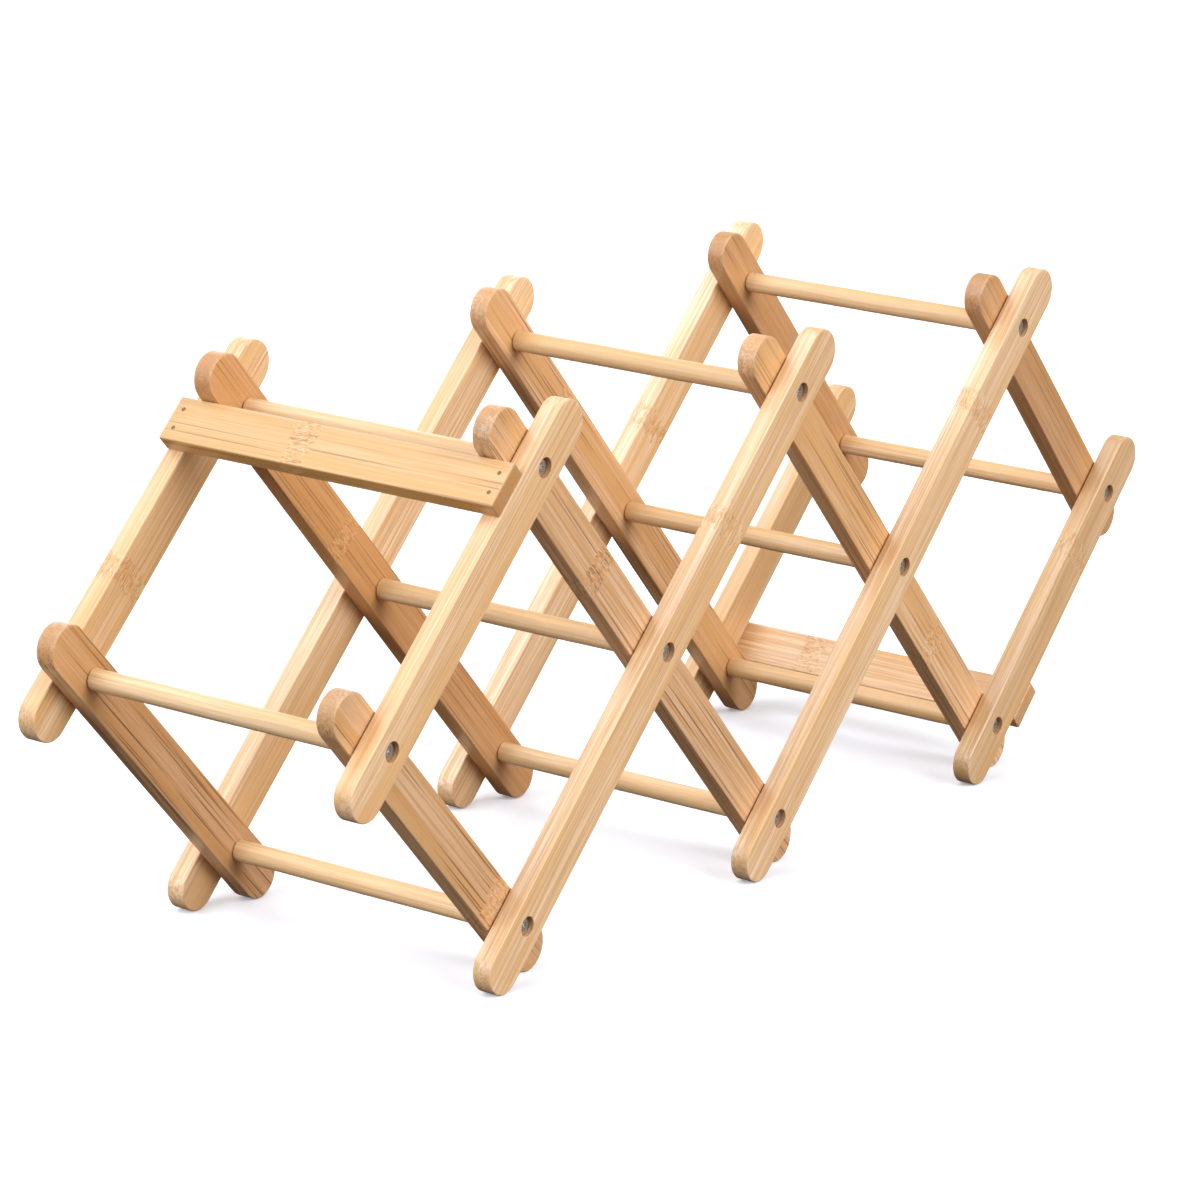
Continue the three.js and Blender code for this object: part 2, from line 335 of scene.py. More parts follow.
# %% [markdown]
# ## Bamboo: streaks, bundles and strips
# Three sizes of streak lie in the wood: broad golden bands 7 mm across, streaks of about a
# millimetre, and fine fibres of a third of one. Each is a noise that is stretched along the
# fibre, and its frequency is given in cycles per millimetre. The fibre bundles are columns about
# a millimetre apart, so they are the cells of a stretched Voronoi pattern: a face that cuts near
# a column's middle shows it as a thin brown line.

# %% Streaks
BROAD_BANDS = (0.004, 0.14, 0.14)
STREAKS = (0.012, 0.85, 0.85)
FINE_FIBRES = (0.08, 2.8, 2.8)
BUNDLE_SPACING = 1.1
BUNDLES = (0.009, 1 / BUNDLE_SPACING, 1 / BUNDLE_SPACING)
STRIP_WIDTH = 6.2


def stretched(tree, kind, wood, frequency, **inputs):
    """A pattern of the given kind, read at the fibre's place times the frequency."""
    place = node(tree, "ShaderNodeMapping", {"Vector": wood, "Scale": frequency}).outputs[0]
    return node(tree, kind, {"Vector": place, "Scale": 1.0, **inputs}).outputs


def fibre_bundles(tree, wood):
    """1 at a bundle's middle, falling to 0 at 0.4 of the spacing from it."""
    cells = stretched(tree, "ShaderNodeTexVoronoi", wood, BUNDLES, Randomness=0.7)
    return node(tree, "ShaderNodeMapRange", {
        "Value": cells["Distance"], "From Min": 0.40, "From Max": 0.14},
        interpolation_type="SMOOTHSTEP").outputs["Result"]


def strip_tone(tree, across):
    """One value from 0 to 1 for each laminated strip: a noise of the strip's whole number."""
    strip = node(tree, "ShaderNodeMath", {0: across, 1: 1 / STRIP_WIDTH},
                 operation="MULTIPLY").outputs[0]
    strip = node(tree, "ShaderNodeMath", {0: strip}, operation="FLOOR").outputs[0]
    return node(tree, "ShaderNodeTexWhiteNoise", {"W": strip},
                noise_dimensions="1D").outputs["Value"]


print("streaks are", round(1 / STREAKS[1], 2), "mm wide and", round(1 / STREAKS[0]), "mm long")

# %% [markdown]
# ## Bamboo: the colour
# Colour is built up as the eye reads it. First pale wood turns deeper in the streaks, then golden
# in the broad bands, then towards caramel by the whole stick's warmth. One gain then carries the
# stick's own tone, the strip's tone and the finest fibres. The brown lines of the bundles come
# last, and fade towards a sawn end, where the bundles are dots too small to see.

# %% Wood colour
def wood_colour(tree, wood, fine, strip, character, pale, deep, gold, caramel):
    """Pale to deep to gold to caramel, times 0.865 + 0.12 tone + 0.07 strip + 0.20 fine."""
    streaks = stretched(tree, "ShaderNodeTexNoise", wood, STREAKS, Detail=4.0, Roughness=0.75)
    share = node(tree, "ShaderNodeMapRange", {
        "Value": streaks["Fac"], "From Min": 0.39, "From Max": 0.61}).outputs["Result"]
    colour = node(tree, "ShaderNodeMix", {0: share, 6: linear(pale), 7: linear(deep)},
                  data_type="RGBA").outputs[2]
    broad = stretched(tree, "ShaderNodeTexNoise", wood, BROAD_BANDS, Detail=1.0)
    golden = node(tree, "ShaderNodeMapRange", {
        "Value": broad["Fac"], "From Min": 0.42, "From Max": 0.66,
        "To Max": 0.75}).outputs["Result"]
    for share, code in ((golden, gold), (character["Y"], caramel)):
        colour = node(tree, "ShaderNodeMix", {0: share, 6: colour, 7: linear(code)},
                      data_type="RGBA").outputs[2]
    gain = node(tree, "ShaderNodeMath", {0: character["X"], 1: 0.12, 2: 0.865},
                operation="MULTIPLY_ADD").outputs[0]
    gain = node(tree, "ShaderNodeMath", {0: strip, 1: 0.07, 2: gain},
                operation="MULTIPLY_ADD").outputs[0]
    gain = node(tree, "ShaderNodeMath", {0: fine, 1: 0.20, 2: gain},
                operation="MULTIPLY_ADD").outputs[0]
    return node(tree, "ShaderNodeVectorMath", {0: colour, "Scale": gain},
                operation="SCALE").outputs[0]


def bundle_lines(tree, bundle, sawn_and_bore_shade, figure, colour, line):
    """Share of brown = bundle * figure * (1 - 2.5 x), where x is 1 on sawn ends and on drilled
    walls, and none where that is below 0.
    """
    share = node(tree, "ShaderNodeMath", {0: sawn_and_bore_shade, 1: -2.5, 2: 1.0}, operation="MULTIPLY_ADD",
                 use_clamp=True).outputs[0]
    share = node(tree, "ShaderNodeMath", {0: bundle, 1: share}, operation="MULTIPLY").outputs[0]
    share = node(tree, "ShaderNodeMath", {0: share, 1: figure}, operation="MULTIPLY").outputs[0]
    return node(tree, "ShaderNodeMix", {0: share, 6: colour, 7: linear(line)},
                data_type="RGBA").outputs[2]


print("a fully golden band keeps a quarter of the streaks' colour")

# %% [markdown]
# ## Bamboo: the flecks of a knuckle
# A knuckle shows as soft orange patches with pale and brown dashes some 3 mm long. Each kind of
# fleck is where a noise passes from a low value to a high one, and is kept only inside the band.

# %% Knuckle flecks
DASHES = (0.36, 1.7, 1.7)
# whether it is a dash, noise where it starts, noise where it is full, greatest share, colour
FLECKS = ((False, 0.48, 0.62, 0.50, "#DE9A58"), (True, 0.52, 0.64, 0.36, "#F6DBA8"),
          (True, 0.47, 0.37, 0.52, "#A8713A"))


def knuckle_flecks(tree, wood, knuckle, colour):
    """The colour turned into each fleck's own by its share times the knuckle band."""
    patches = node(tree, "ShaderNodeTexNoise", {"Vector": wood, "Scale": 0.22, "Detail": 1.0})
    dashes = stretched(tree, "ShaderNodeTexNoise", wood, DASHES, Detail=2.0, Roughness=0.6)
    for is_dash, start, full, most, code in FLECKS:
        fleck = node(tree, "ShaderNodeMapRange", {
            "Value": (dashes if is_dash else patches.outputs)["Fac"], "From Min": start,
            "From Max": full, "To Max": most}).outputs["Result"]
        fleck = node(tree, "ShaderNodeMath", {0: fleck, 1: knuckle},
                     operation="MULTIPLY").outputs[0]
        colour = node(tree, "ShaderNodeMix", {0: fleck, 6: colour, 7: linear(code)},
                      data_type="RGBA").outputs[2]
    return colour


print("kinds of fleck:", len(FLECKS))

# %% [markdown]
# ## Bamboo: the finish
# The sticks get one thin coat of satin lacquer. It is a clear layer over the wood, so the shader
# has a coat with its own roughness. Sawn ends drink the lacquer: they are darker and duller.
# Drilled walls are duller too, and are darkened as painted shade, the shadow inside a hole.
# On an arris the wood is rubbed paler.

# %% Bamboo material
# how far sawn ends turn towards the line colour; on drilled walls the same share is painted shade
SAWN_AND_BORE_SHADE_SHARE = 0.62
RUBBED_SHARE = 0.12
LACQUER = {"IOR": 1.5, "Coat Weight": 0.35, "Coat Roughness": 0.30}


def bamboo(name, pale, deep, gold, caramel, line, roughness):
    """Wood colour, then bundle lines, knuckle flecks, darker sawn ends, painted shade on drilled
    walls and rubbed arrises. Roughness = its base + 0.16 fine + 0.14 on sawn ends and drilled
    walls, and the relief is the fine fibres less 0.6 of the bundles."""
    made, tree = new_material(name)
    grain = node(tree, "ShaderNodeAttribute", attribute_name="grain").outputs["Vector"]
    wear = node(tree, "ShaderNodeAttribute", attribute_name="wear").outputs["Fac"]
    sawn_and_bore_shade = node(tree, "ShaderNodeAttribute", attribute_name="sawn_and_bore_shade").outputs["Fac"]
    character = node(tree, "ShaderNodeSeparateXYZ", {"Vector": node(
        tree, "ShaderNodeAttribute", attribute_name="character").outputs["Vector"]}).outputs
    place = node(tree, "ShaderNodeSeparateXYZ", {"Vector": grain}).outputs

    knuckle = knuckle_band(tree, grain, place["X"])
    wood = wandering_fibres(tree, grain, knuckle)
    fine = stretched(tree, "ShaderNodeTexNoise", wood, FINE_FIBRES, Detail=3.0,
                     Roughness=0.65)["Fac"]
    bundle = fibre_bundles(tree, wood)
    colour = wood_colour(tree, wood, fine, strip_tone(tree, place["Y"]), character,
                         pale, deep, gold, caramel)
    colour = bundle_lines(tree, bundle, sawn_and_bore_shade, character["Z"], colour, line)
    colour = knuckle_flecks(tree, wood, knuckle, colour)
    # sawn ends are darker in their own colour; drilled walls get the same darkening as painted
    # shade, the shadow inside a hole
    for mask, share, code in ((sawn_and_bore_shade, SAWN_AND_BORE_SHADE_SHARE, line), (wear, RUBBED_SHARE, pale)):
        share = node(tree, "ShaderNodeMath", {0: mask, 1: share}, operation="MULTIPLY").outputs[0]
        colour = node(tree, "ShaderNodeMix", {0: share, 6: colour, 7: linear(code)},
                      data_type="RGBA").outputs[2]

    sheen = node(tree, "ShaderNodeMath", {0: fine, 1: 0.16, 2: roughness - 0.08},
                 operation="MULTIPLY_ADD").outputs[0]
    sheen = node(tree, "ShaderNodeMath", {0: sawn_and_bore_shade, 1: 0.14, 2: sheen},
                 operation="MULTIPLY_ADD").outputs[0]
    relief = node(tree, "ShaderNodeMath", {0: bundle, 1: -0.6, 2: fine},
                  operation="MULTIPLY_ADD").outputs[0]
    bump = node(tree, "ShaderNodeBump", {"Strength": 0.35, "Distance": 0.00006,
                                         "Height": relief}).outputs[0]
    shader = node(tree, "ShaderNodeBsdfPrincipled", {
        "Base Color": colour, "Roughness": sheen, "Normal": bump, **LACQUER})
    node(tree, "ShaderNodeOutputMaterial", {"Surface": shader.outputs[0]})
    return made


# Pale honey bamboo under satin lacquer: bright and even, with faint long lines.
honey_bamboo = bamboo("honey_bamboo_satin_lacquer", "#F1D3AE", "#D5A672", "#DEAD70", "#DBA24E",
                      "#AC743E", 0.44)
# The same wood from nearer the culm's skin: more orange, and its fibre lines are stronger.
amber_bamboo = bamboo("amber_bamboo_satin_lacquer", "#E9C298", "#CC9966", "#D39D5E", "#C58748",
                      "#80522C", 0.46)
# Dowels are turned from the same stock and sanded finer, so they look paler and smoother.
dowel_bamboo = bamboo("turned_bamboo_dowel", "#F2D2A4", "#E0B47E", "#E3B373", "#D6A468",
                      "#B07C48", 0.42)
print("bamboo finishes:", honey_bamboo.name, amber_bamboo.name, dowel_bamboo.name)

# %% [markdown]
# ## Steel
# The screws are zinc plated: a thin bright coat with a pale grey, faintly mottled look. The brads
# are bare drawn wire, darker, since their cut ends tarnish. Polished chrome would mirror the
# studio and look wrong here. Both are plain metals whose roughness and colour vary together.

# %% Steel materials
MOTTLE_PER_METRE = 2500.0


def steel(name, bright, dull, smooth, rough):
    """Colour and roughness both run from one value to the other by a mottle 0.4 mm across."""
    made, tree = new_material(name)
    place = node(tree, "ShaderNodeTexCoord").outputs["Object"]
    mottle = node(tree, "ShaderNodeTexNoise", {"Vector": place, "Scale": MOTTLE_PER_METRE,
                                               "Detail": 2.0}).outputs["Fac"]
    sheen = node(tree, "ShaderNodeMapRange", {
        "Value": mottle, "From Min": 0.3, "From Max": 0.7, "To Min": smooth,
        "To Max": rough}).outputs["Result"]
    bump = node(tree, "ShaderNodeBump", {"Strength": 0.2, "Distance": 0.00003,
                                         "Height": mottle}).outputs[0]
    colour = node(tree, "ShaderNodeMix", {0: mottle, 6: linear(bright), 7: linear(dull)},
                  data_type="RGBA").outputs[2]
    shader = node(tree, "ShaderNodeBsdfPrincipled", {
        "Base Color": colour, "Metallic": 1.0, "Roughness": sheen, "Normal": bump})
    node(tree, "ShaderNodeOutputMaterial", {"Surface": shader.outputs[0]})
    return made


# Zinc plate over steel: pale grey, with soft broad highlights rather than mirror ones.
zinc_steel = steel("zinc_plated_steel", "#F2F0EA", "#CECCC6", 0.30, 0.50)
# Bare wire with a tarnished end: a small brown-grey dot in the wood.
brad_steel = steel("drawn_steel_wire", "#A98F72", "#7A6248", 0.40, 0.60)
print("steel finishes:", zinc_steel.name, brad_steel.name)

# %% [markdown]
# ## Flat stock
# A slat and a stop bar are the same thing to a woodworker: a flat stick with an outline and
# eased arrises. The rim is one sheet. Its columns walk round the outline, and its rows climb
# from the lower face round the arris, up the side and over the other arris. Moving a point of
# the outline inward only shrinks its corner's radius, so the sheet has an exact formula. The
# two flat faces are then filled between the rim's border and the borders of the holes.

# %% Flat stock
ARRIS_STEPS = 4
TIP_STEPS = 28
CORNER_STEPS = 3


def rounded_ends(low, high, radius):
    """Outline of a slat: a half circle about (high, 0), then one about (low, 0)."""
    sweep = np.linspace(-math.pi / 2, math.pi / 2, TIP_STEPS + 1)
    centres = np.repeat([[high, 0.0], [low, 0.0]], len(sweep), axis=0)
    return centres, np.concatenate([sweep, sweep + math.pi]), radius


def square_ends(half_length, half_width, radius):
    """Outline of a bar: a quarter circle about each of its four corner centres."""
    sweep = np.linspace(0, math.pi / 2, CORNER_STEPS + 1)
    corners = np.array([[1, 1], [-1, 1], [-1, -1], [1, -1]]) * [half_length - radius,
                                                                half_width - radius]
    angles = np.concatenate([sweep + quarter * math.pi / 2 for quarter in range(4)])
    return np.repeat(corners, len(sweep), axis=0), angles, radius


def inset_ring(outline, inset):
    """The outline moved inward: centre + (radius - inset) * direction. Past the corner's own
    radius the centre moves in instead, and a tiny radius is left."""
    centres, angles, radius = outline
    left = max(radius - inset, 0.05)
    shift = inset + left - radius
    ring = centres - np.sign(np.round(centres, 6)) * [shift, shift]
    return ring + left * np.stack([np.cos(angles), np.sin(angles)], -1)


def rim_rows(thickness):
    """(inset, height, wear) up the rim: margin, quarter circle, side, quarter circle, margin."""
    turn = np.linspace(0, math.pi / 2, ARRIS_STEPS + 1)
    low = np.stack([ARRIS_RADIUS * (1 - np.sin(turn)), ARRIS_RADIUS * (1 - np.cos(turn)),
                    np.ones_like(turn)], -1)
    flat = ARRIS_RADIUS + ARRIS_MARGIN
    half = np.concatenate([[[flat, 0, 0]], low, [[0, flat, 0]]])
    other = half[::-1] * [1, -1, 1] + [0, thickness, 0]
    return np.concatenate([half, other])


def rim_sheet(outline, thickness):
    """Row i is the outline inset by rows[i, 0] at height rows[i, 1]. Sawn = |cos(angle)|, the
    share of the side that cuts across the fibres, and 0 on the flat margins."""
    rows = rim_rows(thickness)
    rings = np.stack([inset_ring(outline, inset) for inset in rows[:, 0]])
    heights = np.broadcast_to(rows[:, 1, None, None], (*rings.shape[:2], 1))
    points = np.concatenate([rings, heights], -1)
    side = np.clip(1 - rows[:, 0] / ARRIS_RADIUS, 0, 1)[:, None]
    sawn_and_bore_shade = side * np.abs(np.cos(outline[1]))
    worn = np.broadcast_to(rows[:, 2, None], sawn_and_bore_shade.shape)
    skin = np.stack([worn, sawn_and_bore_shade, np.zeros_like(sawn_and_bore_shade)], -1).reshape(-1, 3)
    return points.reshape(-1, 3), sheet_faces(*sawn_and_bore_shade.shape, True), skin


def face_sheet(outline, height, holes, upward):
    """A flat face: triangles between the rim's border and each hole's border."""
    border = inset_ring(outline, ARRIS_RADIUS + ARRIS_MARGIN)
    loops = [np.column_stack([ring, np.full(len(ring), height)]) for ring in [border, *holes]]
    faces = np.array(tessellate_polygon([[Vector(p) for p in loop] for loop in loops]))
    points = np.concatenate(loops)
    a, b, c = points[faces[:, 0]], points[faces[:, 1]], points[faces[:, 2]]
    flip = (np.cross(b - a, c - a)[:, 2] > 0) != upward
    faces[flip] = faces[flip][:, ::-1]
    return points, faces, np.zeros((len(points), 3))


HOLE_STEPS = 32
HOLE_MARGIN = 0.4
MOUTH_ROWS = 2


def hole_profile(radius, thickness, counterbore):
    """(radius, height) down a hole from the upper face: margin, chamfer, wall, and for a
    counterbore its floor, then the shank's own hole, chamfer and margin."""
    mouth = COUNTERBORE_RADIUS if counterbore else radius
    rows = [[mouth + HOLE_CHAMFER + HOLE_MARGIN, thickness], [mouth + HOLE_CHAMFER, thickness],
            [mouth, thickness - HOLE_CHAMFER]]
    if counterbore:
        rows += [[mouth, thickness - COUNTERBORE_DEPTH], [radius, thickness - COUNTERBORE_DEPTH]]
    return np.array(rows + [[radius, HOLE_CHAMFER], [radius + HOLE_CHAMFER, 0],
                            [radius + HOLE_CHAMFER + HOLE_MARGIN, 0]])


def flat_stick(outline, thickness, holes):
    """Rim, holes and both faces, welded. Each hole is (x, y, radius, has a counterbore)."""
    sheets = [rim_sheet(outline, thickness)]
    mouths = {True: [], False: []}
    for x, y, radius, counterbore in holes:
        profile = hole_profile(radius, thickness, counterbore)
        points, faces, skin = turned_sheet(profile, circle(HOLE_STEPS))
        points += [x, y, 0]
        # the hole's wall and floor are marked for painted shade: the bamboo darkens them like the
        # shadow inside a hole
        skin[MOUTH_ROWS * HOLE_STEPS:-MOUTH_ROWS * HOLE_STEPS, 2] = 1
        sheets.append((points, faces, skin))
        mouths[True].append(points[:HOLE_STEPS, :2])
        mouths[False].append(points[-HOLE_STEPS:, :2])
    sheets += [face_sheet(outline, thickness, mouths[True], True),
               face_sheet(outline, 0.0, mouths[False], False)]
    return weld(sheets)


test_points, test_faces, _ = flat_stick(rounded_ends(-TIP_REACH, 100, SLAT_HALF_WIDTH),
                                        SLAT_THICKNESS, [(0, 0, SHANK_HOLE_RADIUS, True)])
print("a slat has", len(test_points), "points and", len(test_faces), "triangles")

# %% [markdown]
# ## The slats
# Sixteen slats: eight outer ones that rise to the right and eight inner ones that rise to the
# left. Each is placed by its lowest and highest pivots. Its length axis points up the slat, its
# thickness axis points out of the rack, and its width axis follows from those two, so no slat is
# mirrored and all faces point outward. Every stick has its own tone, and a knuckle where the
# real one shows it.

# %% Slats
rng = np.random.default_rng(11)
# tone -1 dark to 1 pale, warmth 0 honey to 1 caramel, figure 0 plain to 1 strongly lined
CHARACTER = {
    "front_outer_slat_1": (0.4, 0.05, 0.30), "front_outer_slat_2": (0.3, 0.10, 0.25),
    "front_outer_slat_3": (0.3, 0.05, 0.35), "front_outer_slat_4": (-1.0, 0.20, 0.40),
    "rear_outer_slat_1": (0.4, 0.20, 0.50), "rear_outer_slat_2": (1.0, 0.05, 0.30),
    "rear_outer_slat_3": (1.2, 0.00, 0.25), "rear_outer_slat_4": (-0.1, 0.15, 0.30),
    "front_inner_slat_1": (-0.4, 0.10, 0.90), "front_inner_slat_2": (-0.1, 0.10, 0.85),
    "front_inner_slat_3": (0.6, 0.00, 0.60), "front_inner_slat_4": (-0.8, 0.50, 0.50),
    "rear_inner_slat_1": (0.1, 0.35, 0.95), "rear_inner_slat_2": (0.6, 0.65, 0.60),
    "rear_inner_slat_3": (0.6, 0.15, 0.70), "rear_inner_slat_4": (-0.2, 0.60, 0.55),
    "top_stop_bar": (-0.4, 0.60, 0.85), "foot_stop_bar": (0.7, 0.15, 0.22),
}
# a knuckle's place along the stick, in millimetres from its lowest pivot or its middle
KNUCKLES = {
    "front_inner_slat_1": 13.0, "top_stop_bar": 14.0, "foot_stop_bar": 30.0,
    "front_inner_slat_3": 60.0, "front_outer_slat_4": 84.0, "rear_outer_slat_1": 40.0,
    "rear_inner_slat_2": 150.0, "front_outer_slat_3": 190.0,
}


def stick_values(name, points, skin, raw_end):
    """Values on a stick's points: grain = place in the stick minus its knuckle's place, plus a
    whole number of knuckle spacings and a drawn offset across and through the fibre. Sawn ends
    are scaled by how raw they were left, and a drilled wall gets the full value, which the finish
    paints as shade inside the hole."""
    knuckle = KNUCKLES.get(name, -110.0 - rng.uniform(0, 40))
    offset = np.array([KNUCKLE_SPACING * rng.integers(1, 30) - knuckle,
                       *rng.uniform(50, 400, 2)])
    character = CHARACTER.get(name, (rng.uniform(-0.5, 0.5), rng.uniform(0, 0.3), 0.15))
    return {"grain": points + offset, "wear": skin[:, 0],
            # sawn ends keep their own darker colour; the drilled wall's full value is painted
            # shade
            "sawn_and_bore_shade": np.maximum(raw_end * skin[:, 1], skin[:, 2]),
            "character": np.broadcast_to(character, (len(points), 3))}


def make_slat(name, side, pivots, outer, material):
    """One slat, drilled at each of its pivots, from the lowest pivot to the highest."""
    places = np.array([pivot_place(p) for p in pivots])
    span = places[-1] - places[0]
    length = np.linalg.norm(span)
    along = span / length
    out = np.array([0.0, side, 0.0])
    across = np.cross(out, along)
    steps = [float(np.dot(p - places[0], along)) for p in places]
    outline = rounded_ends(-TIP_REACH, length + TIP_REACH, SLAT_HALF_WIDTH)
    holes = [(step, 0.0, SHANK_HOLE_RADIUS, outer) for step in steps]
    points, faces, skin = flat_stick(outline, SLAT_THICKNESS, holes)
    face = RACK_HALF_DEPTH if outer else INNER_SLAT_FACE
    place = places[0] + out * (face - SLAT_THICKNESS)
    piece = make_piece(f"{name}_wood", points, faces, place, [along, across, out], material,
                       stick_values(name, points, skin, 0.3))
    stand_in(piece, name)
    return piece


for slat, pivots in SLAT_PIVOTS.items():
    outer = slat.startswith("outer")
    finish, slot = (honey_bamboo, "bamboo_outer") if outer else (amber_bamboo, "bamboo_inner")
    for side_name, side in (("front", -1), ("rear", 1)):
        piece = make_slat(f"{side_name}_{slat}", side, pivots, outer, finish)
        print(piece.name, len(piece.data.polygons))

# %% [markdown]
# ## The stop bars
# Two flat bars join the front and rear end slats. The upper one lies on the first slats' upper
# edges and stops the neighbouring slats at 45 degrees, and the lower one does the same from
# below at the other end. Each bar is nailed with two brads per slat, whose heads show as
# small dark dots just under the surface.

# %% Stop bars
BAR_THICKNESS = 7.0
BAR_HALF_WIDTH = 9.0
BAR_CORNER = 0.5
BRAD_RADIUS = 0.6
BRAD_LENGTH = 18.0
BRAD_HOLE_RADIUS = 0.7
BRAD_SUNK = 0.12
SLAT_RISE = pivot_place("top_1") - pivot_place("cross_1")
SLAT_RISE = SLAT_RISE / np.linalg.norm(SLAT_RISE)


def make_bar(name, outward):
    """A bar whose long axis runs from front to rear and whose thickness points outward."""
    centre = middle(name)
    lengthwise = np.array([0.0, 1.0, 0.0])
    across = np.cross(outward, lengthwise)
    brads = [n for n in frame["nodes"] if n.startswith(name.replace("stop_bar", "bar_"))]
    spots = [middle(b) - centre for b in brads]
    holes = [(float(np.dot(s, lengthwise)), float(np.dot(s, across)), BRAD_HOLE_RADIUS, False)
             for s in spots]
    outline = square_ends(RACK_HALF_DEPTH, BAR_HALF_WIDTH, BAR_CORNER)
    points, faces, skin = flat_stick(outline, BAR_THICKNESS, holes)
    place = centre - outward * BAR_THICKNESS / 2
    piece = make_piece(f"{name}_wood", points, faces, place, [lengthwise, across, outward],
                       honey_bamboo, stick_values(name, points, skin, 1.0))
    stand_in(piece, name)
    for brad, hole in zip(brads, holes):
        make_brad(brad, place + lengthwise * hole[0] + across * hole[1], across, outward)
    return piece


def make_brad(name, foot, across, outward):
    """A headless nail: its radius grows from nothing at the point, and its top is domed."""
    top = BAR_THICKNESS - BRAD_SUNK
    profile = [[0, top - BRAD_LENGTH], [BRAD_RADIUS, top - BRAD_LENGTH + 2],
               [BRAD_RADIUS, top - 0.2], [BRAD_RADIUS * 0.8, top - 0.06], [0, top]]
    points, faces, _ = weld([turned_sheet(profile, circle(20))])
    piece = make_piece(f"{name}_steel", points, faces, foot,
                       [np.cross(across, outward), across, outward], brad_steel, {})
    stand_in(piece, name)


UPPER_EDGE = np.cross(SLAT_RISE, [0.0, 1.0, 0.0])
for bar, outward in (("top_stop_bar", UPPER_EDGE), ("foot_stop_bar", -UPPER_EDGE)):
    print(make_bar(bar, outward).name, "faces", outward.round(2))

# %% [markdown]
# ## The dowels
# Ten turned dowels carry the bottles. Each is a profile turned about its axis: from the bottom
# of one screw hole, out over the end, round the eased edge, along the dowel, and the same at the
# far end. Sanding in the lathe leaves the cylinder a few hundredths of a millimetre uneven,
# which breaks up its highlight.

# %% Dowels
DOWEL_RADIUS = 4.0
DOWEL_HALF_LENGTH = 56.2
DOWEL_EASE = 0.35
PILOT_DEPTH = 14.2
DOWEL_STEPS = 56


def dowel_profile():
    """(radius, height) of half a dowel, from the pilot hole's bottom to its middle."""
    turn = np.linspace(0, math.pi / 2, 5)
    eased = np.stack([DOWEL_RADIUS - DOWEL_EASE * (1 - np.sin(turn)),
                      DOWEL_HALF_LENGTH - DOWEL_EASE * (1 - np.cos(turn))], -1)
    inside = [[0, DOWEL_HALF_LENGTH - PILOT_DEPTH],
              [SHANK_HOLE_RADIUS, DOWEL_HALF_LENGTH - PILOT_DEPTH],
              [SHANK_HOLE_RADIUS, DOWEL_HALF_LENGTH]]
    shaft = [[DOWEL_RADIUS, h] for h in np.linspace(DOWEL_HALF_LENGTH - 1.0, 0, 24)]
    return np.concatenate([inside, eased, shaft])


def make_dowel(name):
    """The shaft's radius is less by 0.03 * (1 - sin(height / 9 + angle)) mm."""
    half = dowel_profile()
    profile = np.concatenate([half, half[-2::-1] * [1, -1]])[::-1]
    points, faces, skin = turned_sheet(profile, circle(DOWEL_STEPS))
    spin = np.arctan2(points[:, 1], points[:, 0])
    uneven = 0.03 * (1 - np.sin(points[:, 2] / 9 + spin + rng.uniform(0, 6)))
    radius = np.hypot(points[:, 0], points[:, 1])
    shaft = radius > DOWEL_RADIUS - 0.01
    points[:, :2] *= np.where(shaft, 1 - uneven / DOWEL_RADIUS, 1)[:, None]
    points, faces, skin = weld([(points, faces, skin)])
    values = stick_values(name, points[:, [2, 0, 1]], skin, 1.0)
    piece = make_piece(f"{name}_wood", points, faces, middle(name),
                       [[1, 0, 0], [0, 0, 1], [0, -1, 0]], dowel_bamboo, values)
    stand_in(piece, name)
    return piece


for dowel in sorted(n for n in frame["nodes"] if "_dowel_" in n):
    print(make_dowel(dowel).name)

# %% [markdown]
# ## The screws
# Twenty pan-head screws with a cross recess hold the rack. The top of a head is one square grid
# bent onto a disc: the grid's lines then fall exactly on the recess's edges, which a round grid
# can't do. A Boolean cut would give the same recess, but with ragged triangles round it.

# %% Screw head
HEAD_RADIUS = 3.25
HEAD_HEIGHT = 2.0
HEAD_CROWN = 0.4
RECESS_DEPTH = 1.05
HALF_KNOTS = np.array([0.0, 0.05, 0.095, 0.138, 0.24, 0.34, 0.42, 0.555, 0.66, 0.78, 0.9, 1.0])


def ramp(value, low, high):
    """0 at low, 1 at high, straight in between."""
    return np.clip((value - low) / (high - low), 0, 1)


def head_disc():
    """A square grid (a, b) on a disc: x = R a sqrt(1 - b^2 / 2), y = R b sqrt(1 - a^2 / 2).
    Height = the crown's fall with the 4th power of the radius, less the cross's depth."""
    knots = np.concatenate([-HALF_KNOTS[:0:-1], HALF_KNOTS])
    b, a = np.meshgrid(knots, knots, indexing="ij")
    x = HEAD_RADIUS * a * np.sqrt(1 - b * b / 2)
    y = HEAD_RADIUS * b * np.sqrt(1 - a * a / 2)
    arm = np.minimum(ramp(np.abs(a), 0.555, 0.42), ramp(np.abs(b), 0.138, 0.095))
    cross = np.maximum(arm, arm.T)
    height = HEAD_HEIGHT - HEAD_CROWN * (np.hypot(x, y) / HEAD_RADIUS) ** 4
    height -= RECESS_DEPTH * cross
    points = np.stack([x, y, height], -1).reshape(-1, 3)
    return points, sheet_faces(len(knots), len(knots), False), np.zeros((len(points), 3))


disc = head_disc()
print("a screw's head has", len(disc[1]), "triangles")

# %% [markdown]
# The side, the underside and the threaded shank are one turned sheet whose radius rises along a
# helix. Its columns start at the angles of the head's rim, so the two sheets weld into one
# closed surface.

# %% Screw shank
SCREW_LENGTH = 25.0
THREAD_RADIUS = 1.5
CORE_RADIUS = 1.1
THREAD_PITCH = 1.4


